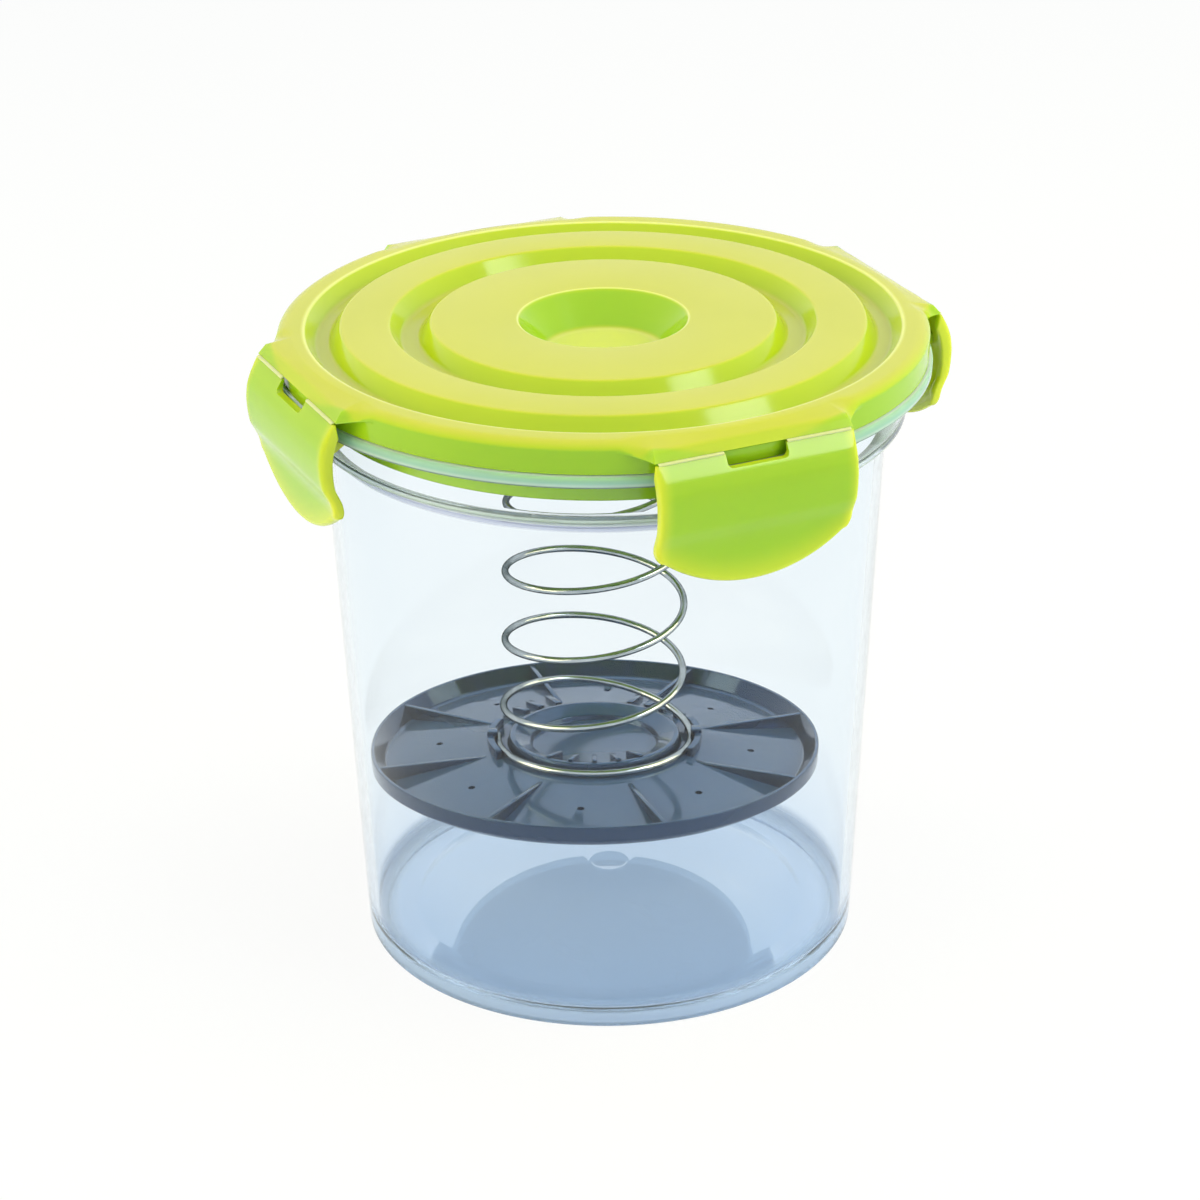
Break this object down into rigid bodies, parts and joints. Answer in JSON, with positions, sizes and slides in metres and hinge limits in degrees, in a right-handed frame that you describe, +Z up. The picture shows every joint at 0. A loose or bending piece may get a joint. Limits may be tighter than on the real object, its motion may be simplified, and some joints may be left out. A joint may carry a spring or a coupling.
{
  "type": "pickling jar",
  "caption": "Clear round pickling jar with a clip-on lid, side latches and a spring-loaded press plate that keeps food under the brine.",
  "frame": {"origin": "centre of the base, on the surface the jar stands on", "axes": "+Z up along the jar's axis; the latches lie on +X, -X, +Y and -Y"},
  "size_m": [0.1668, 0.1668, 0.1619],
  "materials": {
    "clear_plastic": "clear, polished, faint blue tint",
    "lime_plastic": "smooth moulded gloss",
    "seal_rubber": "translucent silicone",
    "spring_steel": "bright drawn stainless wire",
    "slate_plastic": "smooth moulded gloss"
  },
  "bodies": {
    "container": {"container": "clear_plastic"},
    "lid": {"lid_shell": "lime_plastic", "lid_gasket": "seal_rubber", "pressure_spring": "spring_steel"},
    "latch_front": {"latch_front": "lime_plastic"},
    "latch_right": {"latch_right": "lime_plastic"},
    "latch_back": {"latch_back": "lime_plastic"},
    "latch_left": {"latch_left": "lime_plastic"},
    "press_plate": {"press_plate": "slate_plastic"}
  },
  "joints": [
    {"name": "lid_lift", "type": "slide", "parent": "container", "child": "lid", "axis": [0, 0, 1], "range_m": [0, 0.2]},
    {"name": "latch_front_hinge", "type": "hinge", "parent": "lid", "child": "latch_front", "pos_m": [0, -0.07975, 0.1573], "axis": [-1, 0, 0], "range_deg": [0, 135]},
    {"name": "latch_right_hinge", "type": "hinge", "parent": "lid", "child": "latch_right", "pos_m": [0.07975, 0, 0.1573], "axis": [0, -1, 0], "range_deg": [0, 135]},
    {"name": "latch_back_hinge", "type": "hinge", "parent": "lid", "child": "latch_back", "pos_m": [0, 0.07975, 0.1573], "axis": [1, 0, 0], "range_deg": [0, 135]},
    {"name": "latch_left_hinge", "type": "hinge", "parent": "lid", "child": "latch_left", "pos_m": [-0.07975, 0, 0.1573], "axis": [0, 1, 0], "range_deg": [0, 135]},
    {"name": "plate_press", "type": "slide", "parent": "lid", "child": "press_plate", "axis": [0, 0, 1], "range_m": [0, 0.075], "stiffness_N_per_m": 180, "deforming": ["pressure_spring"]}
  ]
}
